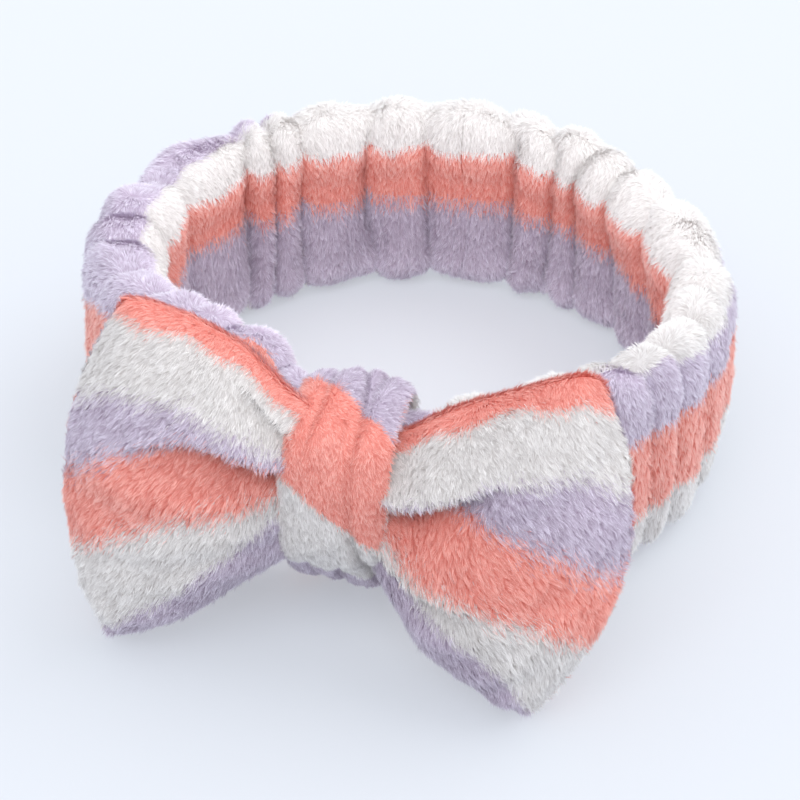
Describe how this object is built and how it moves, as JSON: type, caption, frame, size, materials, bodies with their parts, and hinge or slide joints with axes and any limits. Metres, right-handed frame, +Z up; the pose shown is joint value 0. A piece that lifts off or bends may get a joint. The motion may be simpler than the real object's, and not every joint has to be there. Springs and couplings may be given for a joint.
{
  "type": "spa headband",
  "caption": "Elastic spa headband: a gathered striped fleece sleeve closed at the front by a knotted fleece bow.",
  "frame": {"origin": "on the resting surface, under the middle of the whole headband", "axes": "+Z up along the head opening; the bow faces -Y; +X to the right seen from the bow"},
  "size_m": [0.1642, 0.1809, 0.0784],
  "materials": {
    "fleece_stripes": "long pile coral fleece, striped coral, off-white and lilac",
    "elastic": "woven elastic webbing",
    "thread": "matt polyester thread"
  },
  "bodies": {
    "front": {"sleeve_front_left": "fleece_stripes", "sleeve_front_right": "fleece_stripes", "elastic_front_left": "elastic", "elastic_front_right": "elastic", "elastic_lap_stitch_left": "thread", "elastic_lap_stitch_right": "thread", "sleeve_closing_seam": "thread", "sleeve_long_seam_front_left": "thread", "sleeve_long_seam_front_right": "thread", "bow_centre": "fleece_stripes", "bow_gather_thread": "thread", "knot_wrap": "fleece_stripes", "knot_wrap_seam": "thread", "knot_tack_top": "thread", "knot_tack_bottom": "thread"},
    "back": {"sleeve_back": "fleece_stripes", "elastic_back": "elastic", "sleeve_long_seam_back": "thread"},
    "bow_left": {"bow_loop_left": "fleece_stripes"},
    "bow_right": {"bow_loop_right": "fleece_stripes"}
  },
  "joints": [
    {"name": "elastic_stretch", "type": "slide", "parent": "front", "child": "back", "axis": [0, 1, 0], "range_m": [0, 0.045], "stiffness_N_per_m": 110, "deforming": ["elastic_back", "elastic_front_left", "elastic_front_right", "sleeve_back", "sleeve_front_left", "sleeve_front_right"]},
    {"name": "bow_left_flex", "type": "hinge", "parent": "front", "child": "bow_left", "pos_m": [-0.0139, -0.07112, 0.031], "axis": [0, 0, 1], "range_deg": [-4, 12], "stiffness_Nm_per_rad": 0.03},
    {"name": "bow_right_flex", "type": "hinge", "parent": "front", "child": "bow_right", "pos_m": [0.0139, -0.07112, 0.031], "axis": [0, 0, 1], "range_deg": [-12, 4], "stiffness_Nm_per_rad": 0.03}
  ]
}
